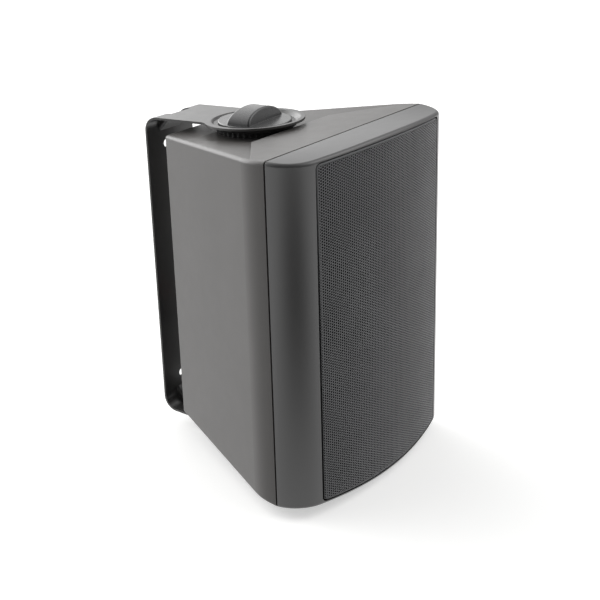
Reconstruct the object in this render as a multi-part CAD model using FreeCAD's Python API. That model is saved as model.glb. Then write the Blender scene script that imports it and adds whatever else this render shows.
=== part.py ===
import FreeCAD, Part
import math
import os

# Two-way wall speaker in a U-bracket. Millimetres, +Z up, the listener is at -Y.
# The origin is the middle of the bracket's wall face, and the cabinet swivels about a vertical axis.

# Cabinet
half_width = 93.0
split_half_height = 120.0
shell_depth = 132.0
side_straight = 13.0
rear_half_width = 35.5
deck_slope = 0.092
wall = 3.0
side_bend_radius = 40.0
rear_edge_radius = 4.0
deck_edge_radius = 2.5

# Front frame
front_depth = 34.0
front_radius = 291.0
front_rise = 3.0
front_rise_radius = 740.0
baffle_setback = 14.0
baffle_thickness = 4.0
frame_side_wall = 7.0
seal_thickness = 1.2
seal_inset = 1.2

# Recess for the bracket's round end, in the top and in the bottom
recess_drop = 9.0
crest_depth = 49.0
crest_half_length = 42.6
crest_round = 2.5
recess_flat = 38.0
deck_margin = 3.5

# Swivel and bracket
pivot_offset = 81.0
pivot_to_split = 79.0
bracket_width = 50.0
bracket_sheet = 1.6
bracket_bend_radius = 11.0
arm_slope = 0.038
ring_radius = 35.3
ring_neck_radius = 8.0
dish_radius = 31.1
dish_depth = 2.4
dish_edge_radius = 1.2
gusset_leg = 11.5
gusset_width = 24.0
gusset_round = 2.0
slot_height = 92.5
slot_length = 16.0
slot_width = 6.0

# Clamp: washer, insert, stud and knob
stud_radius = 3.95
running_clearance = 0.05
stud_hole_clearance = 0.55
insert_radius = 6.0
insert_length = 18.0
insert_boss_wall = 4.0
stud_reach = 15.0
washer_radius = 27.0
washer_thickness = 4.0
washer_bore = 6.5
tooth_count = 40
tooth_depth = 1.0
knob_radius = 25.8
knob_disc_height = 1.8
knob_disc_chamfer = 0.5
knob_height = 10.8
knob_ridge_length = 43.4
knob_ridge_base = 19.2
knob_ridge_top = 15.0
knob_edge_radius = 1.6
knob_turn = 5.0
knob_socket = 8.0

# Grille
bezel_side = 20.0
bezel_end = 3.4
grille_rise = 3.0
grille_corner_radius = 3.5
grille_sheet = 1.0
grille_gap = 0.8
grille_hole_width = 12.0
grille_hole_columns = 7
grille_hole_rows = 15
grille_hole_margin = 3.0

# Woofer
woofer_side_gap = 7.0
woofer_end_gap = 9.0
driver_gap = 12.0
woofer_rim = 7.5
woofer_flange = 3.0
woofer_gasket_thickness = 1.0
basket_neck_radius = 42.0
basket_depth = 40.0
basket_sheet = 1.8
basket_windows = 6
basket_spoke = 12.0
basket_window_margin = 9.0
surround_clearance = 0.5
surround_land = 3.0
surround_roll_width = 10.0
surround_roll_height = 4.6
surround_sheet = 1.0
moving_clearance = 0.4
cone_sheet = 0.9
cone_depth = 21.0
cone_flare = 0.35
coil_radius = 13.6
coil_sheet = 0.6
coil_length = 36.0
dust_cap_radius = 18.0
dust_cap_height = 6.0
pole_radius = 12.4
gap_radius = 14.4
top_plate_radius = 40.0
top_plate_thickness = 5.0
magnet_radius = 45.0
magnet_bore = 20.0
magnet_thickness = 15.0
spider_outer = 38.0
spider_waves = 4
spider_lip = 4.0
spider_rise = 6.0
spider_ripple = 1.2

# Tweeter
tweeter_end_gap = 21.0
tweeter_radius = 33.0
tweeter_plate = 3.5
tweeter_hole = 27.0
tweeter_throat = 13.4
tweeter_collar = 2.5
tweeter_flare_depth = 2.8
tweeter_flare_width = 9.6
tweeter_magnet_radius = 25.0
tweeter_magnet_length = 21.5
dome_radius = 13.2
dome_height = 5.0
dome_sheet = 0.6

# Fasteners
screw_radius = 2.0
screw_head_radius = 3.8
screw_head_height = 2.2
screw_head_chamfer = 0.8
tweeter_screw_head = 3.0
screw_clearance = 0.2
cabinet_screw_length = 38.0
cabinet_screw_side = 27.0
cabinet_screw_end = 13.0
cabinet_boss_radius = 5.0
rib_thickness = 3.0
driver_screw_length = 8.0
woofer_screw_inset = 3.5
tweeter_screw_circle = 29.6

# Terminals
cup_height = -40.0
cup_flange_width = 54.0
cup_flange_height = 56.0
cup_flange_thickness = 2.0
cup_wall = 2.5
cup_recess_height = 40.0
cup_recess_depth = 15.0
cup_edge_radius = 3.0
cup_screw_inset = 3.6
lever_width = 15.0
lever_length = 17.0
lever_thickness = 3.2
lever_tip_thickness = 2.2
lever_knuckle_radius = 2.6
lever_pin_radius = 1.5
lever_pin_length = 1.2
lever_top_clearance = 1.0
lever_side_clearance = 0.3
lever_rib = 3.0
lever_drop = 7.0
lever_tilt = 20.0
contact_width = 8.0
contact_sheet = 0.8
contact_tab = 9.0

# Crossover
board_half_width = 30.0
board_length = 78.0
board_clearance = 4.0
board_thickness = 1.6
board_standoff = 10.0
standoff_radius = 3.5
board_screw_inset = 5.0
board_screw_radius = 1.5
board_screw_length = 8.0
board_screw_head = 3.0
capacitor_radius = 8.0
capacitor_length = 28.0
capacitor_inset = 22.6
choke_radius = 16.0
choke_bore = 8.0
choke_length = 14.0
choke_inset = 25.8
resistor_side = 8.0
resistor_length = 24.0

# Stations along Y
pivot_y = -pivot_offset
split_y = pivot_y - pivot_to_split
rear_y = split_y + shell_depth
apex_y = split_y - front_depth
baffle_y = split_y - baffle_setback
baffle_back_y = baffle_y + baffle_thickness

# Heights of the clamp
recess_floor = split_half_height - recess_drop
arm_height = recess_floor + washer_thickness + bracket_sheet + dish_depth
arm_under = arm_height - bracket_sheet
dish_top = arm_height - dish_depth
dish_under = dish_top - bracket_sheet
knob_base = dish_top
boss_low = recess_floor - insert_length - insert_boss_wall

# Places that follow the cabinet's size
grille_half_width = half_width - bezel_side
grille_half_height = split_half_height - bezel_end
tweeter_height = split_half_height - tweeter_end_gap - tweeter_radius
woofer_room = tweeter_height - tweeter_radius - driver_gap + split_half_height - woofer_end_gap
woofer_radius = min(grille_half_width - woofer_side_gap, woofer_room / 2)
woofer_height = woofer_end_gap + woofer_radius - split_half_height
woofer_hole = woofer_radius - woofer_rim
woofer_screw_circle = woofer_radius - woofer_screw_inset
surround_outer = woofer_hole - surround_clearance
surround_roll_outer = surround_outer - surround_land
surround_roll_inner = surround_roll_outer - surround_roll_width
cabinet_screw_x = half_width - cabinet_screw_side
cabinet_screw_z = split_half_height - cabinet_screw_end
board_high = boss_low - board_clearance
board_low = board_high - board_length

V = FreeCAD.Vector
X_AXIS = V(1, 0, 0)
Y_AXIS = V(0, 1, 0)
Z_AXIS = V(0, 0, 1)
margin = 20.0


def deck(depth):
    """Half height of the cabinet at a depth behind the split."""
    return split_half_height - deck_slope * depth


def block(x, y, z):
    """Box between two corners, each given as a (low, high) pair."""
    size = [high - low for low, high in (x, y, z)]
    return Part.makeBox(*size, V(x[0], y[0], z[0]))


def closed_face(points):
    """Flat face inside a closed polygon."""
    return Part.Face(Part.makePolygon(points + [points[0]]))


def prism_z(points, low, high):
    """Plan outline of (x, y) points, extruded upwards."""
    return closed_face([V(x, y, low) for x, y in points]).extrude(V(0, 0, high - low))


def prism_x(points, low, high):
    """Side outline of (y, z) points, extruded along X."""
    return closed_face([V(low, y, z) for y, z in points]).extrude(V(high - low, 0, 0))


def turned(points, centre, axis):
    """Solid of revolution of (radius, station) points about an axis along Y or Z."""
    if axis is Y_AXIS:
        outline = [V(r, s, centre.z) for r, s in points]
    else:
        outline = [V(r, centre.y, s) for r, s in points]
    return closed_face(outline).revolve(centre, axis, 360)


def turned_wire(edges, centre, axis):
    """Solid of revolution of a closed chain of edges."""
    return Part.Face(Part.Wire(edges)).revolve(centre, axis, 360)


def line(a, b):
    """Straight edge."""
    return Part.LineSegment(a, b).toShape()


def arc(a, b, c):
    """Arc through three points."""
    return Part.Arc(a, b, c).toShape()


def rod(radius, start, direction, length):
    """Cylinder."""
    return Part.makeCylinder(radius, length, start, direction)


def mirrored(shape):
    """The same shape below the middle plane."""
    return shape.mirror(V(0, 0, 0), Z_AXIS)


def is_along(edge, axis, least):
    """True for a straight edge that runs along an axis for a least length."""
    if len(edge.Vertexes) != 2:
        return False
    span = edge.Vertexes[1].Point.sub(edge.Vertexes[0].Point)
    return span.Length >= least and abs(abs(span.dot(axis)) - span.Length) < 1e-4 * span.Length


def plan_outline(inset):
    """Plan of the rear shell as (x, y) points, moved inwards by an inset."""
    run = shell_depth - side_straight
    fall = half_width - rear_half_width
    slant = math.hypot(run, fall) / run
    side = half_width - inset

    def taper(depth):
        return half_width - (depth - side_straight) * fall / run - inset * slant

    bend = side_straight + (half_width - inset * slant - side) * run / fall
    back = shell_depth - inset
    half = [(side, 0.0), (side, bend), (taper(back), back)]
    right = [(x, split_y + d) for x, d in half]
    left = [(-x, split_y + d) for x, d in reversed(half)]
    return right + left


def recess_cutter():
    """Space above the recess in the top: a flat floor, two gentle side slopes and a low front wall."""
    edge_x = half_width - deck_margin
    bend_y = split_y + side_straight
    crest_y = split_y + crest_depth
    out_x = half_width + margin
    back_y = rear_y + margin
    half = [(crest_half_length, crest_y), (edge_x, bend_y), (out_x, bend_y), (out_x, back_y)]
    points = half + [(-x, y) for x, y in reversed(half)]
    space = prism_z(points, recess_floor, split_half_height + margin)
    for sign in (-1, 1):
        front = V(sign * edge_x, bend_y, deck(side_straight))
        rear = V(sign * (rear_half_width - deck_margin), rear_y, deck(shell_depth))
        low = V(sign * recess_flat, pivot_y, recess_floor)
        normal = rear.sub(front).cross(low.sub(front)).normalize()
        if normal.z < 0:
            normal = normal.multiply(-1)
        size = 4 * half_width
        below = Part.makeBox(size, size, size, V(-size / 2, -size / 2, -size))
        below.Placement = FreeCAD.Placement(front, FreeCAD.Rotation(Z_AXIS, normal))
        space = space.cut(below)
    return space


def cabinet_screw_places():
    """Where the screws that close the cabinet stand, as (x, z)."""
    return [(sx * cabinet_screw_x, z) for sx in (-1, 1) for z in (-cabinet_screw_z, 0.0, cabinet_screw_z)]


def make_rear_shell():
    """Moulded tapered shell with recesses, insert bosses, screw bosses and standoffs."""
    tall = split_half_height + margin
    front_y = split_y + seal_thickness / 2
    low_end = deck(shell_depth)
    side = [(front_y, deck(0)), (rear_y, low_end), (rear_y, -low_end), (front_y, -deck(0))]
    outer = prism_z(plan_outline(0.0), -tall, tall)
    for radius, y in ((side_bend_radius, split_y + side_straight), (rear_edge_radius, rear_y)):
        uprights = [e for e in outer.Edges if is_along(e, Z_AXIS, tall) and abs(e.CenterOfMass.y - y) < 1e-3]
        outer = outer.makeFillet(radius, uprights)
    outer = outer.common(prism_x(side, -half_width - margin, half_width + margin))
    rims = [e for e in outer.Edges if e.BoundBox.ZLength < deck(0) and e.CenterOfMass.y > front_y + 0.1]
    outer = outer.makeFillet(deck_edge_radius, rims)
    cutter = recess_cutter()
    outer = outer.cut(cutter).cut(mirrored(cutter))
    crest_y = split_y + crest_depth
    crests = [e for e in outer.Edges if is_along(e, X_AXIS, crest_half_length)
              and abs(e.CenterOfMass.y - crest_y) < 1e-3 and abs(e.CenterOfMass.z) > recess_floor + 1]
    outer = outer.makeFillet(crest_round, crests)

    meet = (split_half_height - recess_floor) / deck_slope
    back = shell_depth - wall
    roof = [(-margin, split_half_height - wall), (0.0, split_half_height - wall),
            (side_straight, deck(side_straight) - wall), (crest_depth, recess_floor - wall),
            (meet, recess_floor - wall), (back, deck(back) - wall)]
    roof = [(split_y + d, z) for d, z in roof]
    floor = [(y, -z) for y, z in reversed(roof)]
    cavity = prism_z(plan_outline(wall), -tall, tall)
    cavity = cavity.common(prism_x(roof + floor, -half_width, half_width))
    shell = outer.cut(cavity)

    boss_radius = insert_radius + insert_boss_wall
    for sign in (1, -1):
        start = V(0, pivot_y, sign * boss_low)
        shell = shell.fuse(rod(boss_radius, start, V(0, 0, sign), recess_floor - boss_low - wall / 2))
        seat = V(0, pivot_y, sign * (recess_floor - insert_length))
        shell = shell.cut(rod(insert_radius + running_clearance, seat, V(0, 0, sign), insert_length + margin))

    boss_end = baffle_y + cabinet_screw_length + wall
    for x, z in cabinet_screw_places():
        boss = rod(cabinet_boss_radius, V(x, front_y, z), Y_AXIS, boss_end - front_y)
        half = rib_thickness / 2
        if z == 0.0:
            reach = half_width - wall / 2
            span = (x, reach) if x > 0 else (-reach, x)
            rib = block(span, (front_y, split_y + side_straight), (-half, half))
        else:
            sink = wall / 2
            rib = prism_x([(front_y, cabinet_screw_z), (front_y, split_half_height - wall),
                           (roof[2][0], roof[2][1] + sink), (roof[3][0], roof[3][1] + sink),
                           (roof[3][0], cabinet_screw_z)], x - half, x + half)
            rib = rib.common(block((x - half, x + half), (front_y, boss_end), (0, split_half_height)))
            rib = rib if z > 0 else mirrored(rib)
        hole_length = boss_end - wall - front_y + 1
        hole = rod(screw_radius + running_clearance, V(x, front_y - 1, z), Y_AXIS, hole_length)
        shell = shell.fuse(boss).fuse(rib).cut(hole)

    for x, z in board_screw_places():
        post = rod(standoff_radius, V(x, board_back_y, z), Y_AXIS, board_standoff + wall / 2)
        hole_start = V(x, board_back_y - 1, z)
        hole = rod(board_screw_radius + running_clearance, hole_start, Y_AXIS, board_screw_length + 1)
        shell = shell.fuse(post).cut(hole)

    half_cup_x = cup_half_width()
    half_cup_z = cup_recess_height / 2 + cup_wall
    window = block((-half_cup_x - screw_clearance, half_cup_x + screw_clearance),
                   (rear_y - 2 * wall, rear_y + 1),
                   (cup_height - half_cup_z - screw_clearance, cup_height + half_cup_z + screw_clearance))
    shell = shell.cut(window)
    for x, z in cup_screw_places():
        start = V(x, rear_y - 2 * wall, z)
        shell = shell.cut(rod(board_screw_radius + running_clearance, start, Y_AXIS, 3 * wall))
    return shell.removeSplitter()


def bezel_corner_radius():
    """Radius of the round that runs from the side into the bowed front without a kink."""
    reach = front_radius - front_depth
    return (front_radius ** 2 - half_width ** 2 - reach ** 2) / (2 * (front_radius - half_width))


def front_plan_face(height):
    """Plan of the front frame: bowed front, round corners, flat back."""
    corner = bezel_corner_radius()
    centre_y = apex_y + front_radius
    cx = half_width - corner
    lean = math.atan2(cx, centre_y - split_y)
    side = math.pi / 4 + lean / 2

    def on_corner(sign, angle):
        return V(sign * (cx + corner * math.sin(angle)), split_y - corner * math.cos(angle), height)

    start = math.acos(seal_thickness / 2 / corner)
    left, right = on_corner(-1, lean), on_corner(1, lean)
    left_back, right_back = on_corner(-1, start), on_corner(1, start)
    edges = [arc(left_back, on_corner(-1, side), left), arc(left, V(0, apex_y, height), right),
             arc(right, on_corner(1, side), right_back), line(right_back, left_back)]
    return Part.Face(Part.Wire(edges))


def rise_outline(y, rise, radius):
    """Front-view outline whose top and bottom are arched, for the loft of the front frame."""
    half = half_width + margin / 2
    middle = split_half_height + rise
    end = middle - (radius - math.sqrt(radius ** 2 - half ** 2)) if radius else middle
    top = [V(-half, y, end), V(0, y, middle), V(half, y, end)]
    low = [V(p.x, p.y, -p.z) for p in reversed(top)]
    upper = arc(*top) if radius else line(top[0], top[2])
    lower = arc(*low) if radius else line(low[0], low[2])
    return Part.Wire([upper, line(top[2], low[0]), lower, line(low[2], top[0])])


def grille_outline_prism(grow, front, back):
    """Prism along Y of the grille's outline, grown by a gap: arched top and bottom, round corners."""
    half = grille_half_width + grow
    corner = grille_half_height + grow
    middle = corner + grille_rise
    top = [V(-half, front, corner), V(0, front, middle), V(half, front, corner)]
    low = [V(p.x, p.y, -p.z) for p in reversed(top)]
    wire = Part.Wire([arc(*top), line(top[2], low[0]), arc(*low), line(low[2], top[0])])
    solid = Part.Face(wire).extrude(V(0, back - front, 0))
    corners = [e for e in solid.Edges if is_along(e, Y_AXIS, (back - front) / 2)]
    return solid.makeFillet(grille_corner_radius + grow, corners)


def make_front_frame():
    """Moulded front: bowed bezel, pocket for the grille and the baffle that carries the drivers."""
    tall = split_half_height + margin
    frame = front_plan_face(-tall).extrude(V(0, 0, 2 * tall))
    straight = rise_outline(split_y, 0.0, 0.0)
    bowed = rise_outline(apex_y - 1, front_rise, front_rise_radius)
    frame = frame.common(Part.makeLoft([straight, bowed], True, True))
    back_y = split_y - seal_thickness / 2
    rims = [e for e in frame.Edges if e.BoundBox.ZLength < split_half_height / 2
            and e.BoundBox.YMin < back_y - 0.1]
    frame = frame.makeFillet(deck_edge_radius, rims)
    frame = frame.cut(grille_outline_prism(grille_gap, apex_y - margin, baffle_y))

    half_x = half_width - frame_side_wall
    half_z = split_half_height - wall
    hollow = block((-half_x, half_x), (baffle_back_y, split_y + 1), (-half_z, half_z))
    frame = frame.cut(hollow)
    frame = frame.cut(rod(woofer_hole, V(0, baffle_y - 1, woofer_height), Y_AXIS, margin))
    frame = frame.cut(rod(tweeter_hole, V(0, baffle_y - 1, tweeter_height), Y_AXIS, margin))
    for x, z in cabinet_screw_places():
        post = rod(cabinet_boss_radius, V(x, baffle_y, z), Y_AXIS, back_y - baffle_y)
        hole = rod(screw_radius + screw_clearance, V(x, baffle_y - 1, z), Y_AXIS, margin)
        frame = frame.fuse(post).cut(hole)
    for x, z in woofer_screw_places() + tweeter_screw_places():
        hole = rod(screw_radius + running_clearance, V(x, baffle_y - 1, z), Y_AXIS, baffle_thickness + 2)
        frame = frame.cut(hole)
    return frame.removeSplitter()


def make_cabinet_seal():
    """Flat ring in the seam, set back so that the seam reads as a groove."""
    y = (split_y - seal_thickness / 2, split_y + seal_thickness / 2)
    x_out, z_out = half_width - seal_inset, split_half_height - seal_inset
    x_in, z_in = half_width - wall, split_half_height - wall
    ring = block((-x_out, x_out), y, (-z_out, z_out))
    return ring.cut(block((-x_in, x_in), (y[0] - 1, y[1] + 1), (-z_in, z_in)))


def pan_screw(x, y, z, length, radius, head_radius):
    """Pan-head screw whose head sits on a face at y and whose shank runs towards +Y."""
    crown = y - screw_head_height
    profile = [(0, crown), (head_radius - screw_head_chamfer, crown), (head_radius, y - screw_head_chamfer),
               (head_radius, y), (radius, y), (radius, y + length - radius), (0, y + length)]
    return turned(profile, V(0, 0, 0), Y_AXIS).translated(V(x, 0, z))


def make_cabinet_screws():
    """Six long screws from the baffle into the shell's bosses."""
    screws = [pan_screw(x, baffle_y, z, cabinet_screw_length, screw_radius, screw_head_radius)
              for x, z in cabinet_screw_places()]
    return Part.makeCompound(screws)


def make_grille():
    """Bowed steel sheet with a folded rim; coarse hexagons stand for its fine perforation."""
    centre = V(0, apex_y + front_radius, -split_half_height - margin)
    tall = 2 * (split_half_height + margin)
    outer = grille_outline_prism(0.0, apex_y - 1, baffle_y).common(rod(front_radius, centre, Z_AXIS, tall))
    inner = grille_outline_prism(-grille_sheet, apex_y - 1, baffle_y + 1)
    inner = inner.common(rod(front_radius - grille_sheet, centre, Z_AXIS, tall))
    shell = outer.cut(inner)
    hexagon = grille_hole_width / math.sqrt(3)
    reach_x = grille_half_width - grille_sheet - grille_hole_margin - grille_hole_width / 2
    reach_z = grille_half_height - grille_sheet - grille_hole_margin - hexagon
    column_step = 2 * reach_x / grille_hole_columns
    row_step = 2 * reach_z / (grille_hole_rows - 1)
    cutters = []
    for row in range(grille_hole_rows):
        z = row * row_step - reach_z
        count = grille_hole_columns if row % 2 else grille_hole_columns + 1
        for column in range(count):
            x = (column - (count - 1) / 2) * column_step
            turns = [k * math.pi / 3 for k in range(6)]
            points = [V(x + hexagon * math.sin(t), apex_y - 1, z + hexagon * math.cos(t)) for t in turns]
            cutters.append(closed_face(points).extrude(V(0, baffle_y - apex_y - 1, 0)))
    return shell.cut(Part.makeCompound(cutters))


def ring_places(radius, height, count, first):
    """Points on a circle about a driver's axis, as (x, z)."""
    angles = [math.radians(first + 360.0 / count * k) for k in range(count)]
    return [(radius * math.cos(a), height + radius * math.sin(a)) for a in angles]


def woofer_screw_places():
    """Four screws in the woofer's flange."""
    return ring_places(woofer_screw_circle, woofer_height, 4, 45.0)


def tweeter_screw_places():
    """Four screws in the tweeter's faceplate."""
    return ring_places(tweeter_screw_circle, tweeter_height, 4, 45.0)


woofer_seat_y = baffle_y - woofer_gasket_thickness
woofer_face_y = woofer_seat_y - woofer_flange
basket_floor_y = woofer_seat_y + basket_depth
woofer_axis = V(0, 0, woofer_height)


def at_woofer(radius, y):
    """Point of a woofer profile."""
    return V(radius, y, woofer_height)


def make_woofer_gasket():
    """Foam ring between flange and baffle."""
    ring = turned([(woofer_hole, woofer_seat_y), (woofer_radius, woofer_seat_y), (woofer_radius, baffle_y),
                   (woofer_hole, baffle_y)], woofer_axis, Y_AXIS)
    for x, z in woofer_screw_places():
        ring = ring.cut(rod(screw_radius + screw_clearance, V(x, woofer_seat_y - 1, z), Y_AXIS, margin))
    return ring


def make_woofer_basket():
    """Pressed frame: flange, tapered skirt with windows, and the floor that carries the motor."""
    skirt_top = woofer_hole - screw_clearance - basket_sheet / 2
    inner_top = skirt_top - basket_sheet
    floor_top = basket_floor_y - basket_sheet
    neck_inner = basket_neck_radius - basket_sheet
    profile = [(surround_roll_outer, woofer_face_y), (woofer_radius, woofer_face_y),
               (woofer_radius, woofer_seat_y), (skirt_top, woofer_seat_y),
               (basket_neck_radius, basket_floor_y), (magnet_bore, basket_floor_y), (magnet_bore, floor_top),
               (neck_inner, floor_top), (inner_top, woofer_seat_y)]
    basket = turned(profile, woofer_axis, Y_AXIS)
    window_front = woofer_seat_y + basket_window_margin
    window_back = basket_floor_y - basket_window_margin
    ring = turned([(magnet_bore, window_front), (woofer_radius, window_front), (woofer_radius, window_back),
                   (magnet_bore, window_back)], woofer_axis, Y_AXIS)
    spoke = block((-woofer_radius, woofer_radius), (woofer_face_y, basket_floor_y),
                  (woofer_height - basket_spoke / 2, woofer_height + basket_spoke / 2))
    for k in range(basket_windows // 2):
        ring = ring.cut(spoke.rotated(woofer_axis, Y_AXIS, 360.0 / basket_windows * k))
    basket = basket.cut(ring)
    for x, z in woofer_screw_places():
        basket = basket.cut(rod(screw_radius + screw_clearance, V(x, woofer_face_y - 1, z), Y_AXIS, margin))
    return basket


def make_woofer_surround():
    """Rubber half roll with a lip glued to the flange."""
    face = woofer_face_y
    back = face - surround_sheet
    middle = (surround_roll_outer + surround_roll_inner) / 2
    crown = back - surround_roll_height
    p = at_woofer
    lip, roll_out, roll_in = surround_outer, surround_roll_outer, surround_roll_inner
    edges = [line(p(lip, face), p(lip, back)),
             line(p(lip, back), p(roll_out, back)),
             arc(p(roll_out, back), p(middle, crown), p(roll_in, back)),
             line(p(roll_in, back), p(roll_in, face)),
             arc(p(roll_in, face), p(middle, crown + surround_sheet), p(roll_out, face)),
             line(p(roll_out, face), p(lip, face))]
    return turned_wire(edges, woofer_axis, Y_AXIS)


def cone_front(radius):
    """Station of the cone's front face at a radius, on a gently flared curve."""
    rim = surround_roll_inner - moving_clearance
    neck = coil_radius + running_clearance
    t = (rim - radius) / (rim - neck)
    return woofer_face_y - surround_sheet + cone_depth * ((1 + cone_flare) * t - cone_flare * t * t)


def make_woofer_cone():
    """Flared paper cone."""
    rim = surround_roll_inner - moving_clearance
    neck = coil_radius + running_clearance
    middle = (rim + neck) / 2
    p = at_woofer
    edges = [arc(p(rim, cone_front(rim)), p(middle, cone_front(middle)), p(neck, cone_front(neck))),
             line(p(neck, cone_front(neck)), p(neck, cone_front(neck) + 2 * cone_sheet)),
             arc(p(neck, cone_front(neck) + 2 * cone_sheet), p(middle, cone_front(middle) + cone_sheet),
                 p(rim, cone_front(rim) + cone_sheet)),
             line(p(rim, cone_front(rim) + cone_sheet), p(rim, cone_front(rim)))]
    return turned_wire(edges, woofer_axis, Y_AXIS)


def dome(radius, height, sheet, base_y, z):
    """Thin spherical cap that bulges towards the front from a flat rim."""
    ball = (radius ** 2 + height ** 2) / (2 * height)
    centre = V(0, base_y + ball - height, z)
    front = block((-radius, radius), (base_y - height - 1, base_y), (z - radius, z + radius))
    return Part.makeSphere(ball, centre).cut(Part.makeSphere(ball - sheet, centre)).common(front)


def make_woofer_dust_cap():
    """Domed cap glued on the cone over the coil."""
    base = cone_front(dust_cap_radius) - running_clearance
    return dome(dust_cap_radius, dust_cap_height, cone_sheet, base, woofer_height)


def make_woofer_voice_coil():
    """Coil former that runs in the magnet's gap."""
    start = cone_front(coil_radius)
    former = rod(coil_radius, V(0, start, woofer_height), Y_AXIS, coil_length)
    return former.cut(rod(coil_radius - coil_sheet, V(0, start - 1, woofer_height), Y_AXIS, coil_length + 2))


def make_woofer_spider():
    """Corrugated ring that centres the coil, glued to the basket's floor."""
    floor = basket_floor_y - basket_sheet
    inner = coil_radius + moving_clearance
    lip = spider_outer - spider_lip
    steps = 2 * spider_waves
    front = []
    for k in range(steps + 1):
        t = k / steps
        radius = lip + (inner - lip) * t
        ripple = spider_ripple if k % 2 else 0.0
        front.append((radius, floor - cone_sheet - spider_rise * min(2 * t, 1.0) - ripple))
    back = [(r, y + cone_sheet) for r, y in reversed(front)]
    profile = [(spider_outer, floor), (spider_outer, floor - cone_sheet)] + front + back
    return turned(profile, woofer_axis, Y_AXIS)


plate_back_y = basket_floor_y + top_plate_thickness
magnet_back_y = plate_back_y + magnet_thickness


def make_woofer_top_plate():
    """Steel ring round the gap."""
    return turned([(gap_radius, basket_floor_y), (top_plate_radius, basket_floor_y),
                   (top_plate_radius, plate_back_y), (gap_radius, plate_back_y)], woofer_axis, Y_AXIS)


def make_woofer_magnet():
    """Ferrite ring."""
    return turned([(magnet_bore, plate_back_y), (magnet_radius, plate_back_y), (magnet_radius, magnet_back_y),
                   (magnet_bore, magnet_back_y)], woofer_axis, Y_AXIS)


def make_woofer_pole_plate():
    """Back plate and pole in one."""
    back = magnet_back_y + top_plate_thickness
    profile = [(0, basket_floor_y), (pole_radius, basket_floor_y), (pole_radius, magnet_back_y),
               (top_plate_radius, magnet_back_y), (top_plate_radius, back), (0, back)]
    return turned(profile, woofer_axis, Y_AXIS)


def make_woofer_screws():
    """Four short screws through flange and gasket into the baffle."""
    screws = [pan_screw(x, woofer_face_y, z, driver_screw_length, screw_radius, screw_head_radius)
              for x, z in woofer_screw_places()]
    return Part.makeCompound(screws)


tweeter_face_y = baffle_y - tweeter_plate
tweeter_back_y = baffle_y + tweeter_collar
tweeter_axis = V(0, 0, tweeter_height)


def make_tweeter_faceplate():
    """Faceplate with a shallow flare into the dome's throat."""
    collar = tweeter_hole - screw_clearance
    plate = turned([(tweeter_throat, tweeter_face_y + tweeter_flare_depth),
                    (tweeter_throat + tweeter_flare_width, tweeter_face_y), (tweeter_radius, tweeter_face_y),
                    (tweeter_radius, baffle_y), (collar, baffle_y), (collar, tweeter_back_y),
                    (tweeter_throat, tweeter_back_y)], tweeter_axis, Y_AXIS)
    for x, z in tweeter_screw_places():
        plate = plate.cut(rod(screw_radius + screw_clearance, V(x, tweeter_face_y - 1, z), Y_AXIS, margin))
    return plate


def make_tweeter_dome():
    """Soft dome on the motor's face."""
    return dome(dome_radius, dome_height, dome_sheet, tweeter_back_y, tweeter_height)


def make_tweeter_magnet():
    """Closed motor behind the faceplate."""
    return rod(tweeter_magnet_radius, V(0, tweeter_back_y, tweeter_height), Y_AXIS, tweeter_magnet_length)


def make_tweeter_screws():
    """Four short screws through the faceplate into the baffle."""
    screws = [pan_screw(x, tweeter_face_y, z, driver_screw_length, screw_radius, tweeter_screw_head)
              for x, z in tweeter_screw_places()]
    return Part.makeCompound(screws)


board_back_y = rear_y - wall - board_standoff
board_front_y = board_back_y - board_thickness


def board_screw_places():
    """Corners where the crossover board is screwed to its standoffs, as (x, z)."""
    x = board_half_width - board_screw_inset
    heights = (board_low + board_screw_inset, board_high - board_screw_inset)
    return [(sx * x, z) for sx in (-1, 1) for z in heights]


def make_crossover_board():
    """Circuit board on four standoffs."""
    width = (-board_half_width, board_half_width)
    board = block(width, (board_front_y, board_back_y), (board_low, board_high))
    for x, z in board_screw_places():
        start = V(x, board_front_y - 1, z)
        board = board.cut(rod(board_screw_radius + screw_clearance, start, Y_AXIS, margin))
    return board


def make_crossover_screws():
    """Four small screws in the board's corners."""
    screws = [pan_screw(x, board_front_y, z, board_screw_length, board_screw_radius, board_screw_head)
              for x, z in board_screw_places()]
    return Part.makeCompound(screws)


def make_crossover_capacitor():
    """Film capacitor lying on the board."""
    start = V(-capacitor_length / 2, board_front_y - capacitor_radius, board_high - capacitor_inset)
    return rod(capacitor_radius, start, X_AXIS, capacitor_length)


def make_crossover_coil():
    """Air-cored choke standing on the board."""
    z = board_low + choke_inset
    return turned([(choke_bore, board_front_y - choke_length), (choke_radius, board_front_y - choke_length),
                   (choke_radius, board_front_y), (choke_bore, board_front_y)], V(0, 0, z), Y_AXIS)


def make_crossover_resistor():
    """Cement resistor standing beside choke and capacitor."""
    x = board_half_width - resistor_side
    z = (board_low + board_high) / 2
    half = resistor_side / 2
    depth = (board_front_y - resistor_side, board_front_y)
    return block((x - half, x + half), depth, (z - resistor_length / 2, z + resistor_length / 2))


cup_floor_y = rear_y - cup_recess_depth


def lever_middle(sign):
    """Middle of a lever's width along X."""
    return sign * (lever_rib / 2 + lever_side_clearance + lever_width / 2)


def pocket_half_width():
    """Half width of the recess: rib, levers and their side clearances."""
    return lever_rib / 2 + 2 * lever_side_clearance + lever_width


def cup_half_width():
    """Half width of the cup's body behind the flange."""
    return pocket_half_width() + cup_wall


def cup_screw_places():
    """Four screws in the corners of the flange, as (x, z)."""
    x = cup_flange_width / 2 - cup_screw_inset
    z = cup_flange_height / 2 - cup_screw_inset
    return [(sx * x, cup_height + sz * z) for sx in (-1, 1) for sz in (-1, 1)]


lever_pin_y = cup_floor_y + lever_drop
lever_pin_z = cup_height + cup_recess_height / 2 - lever_knuckle_radius - lever_top_clearance


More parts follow.
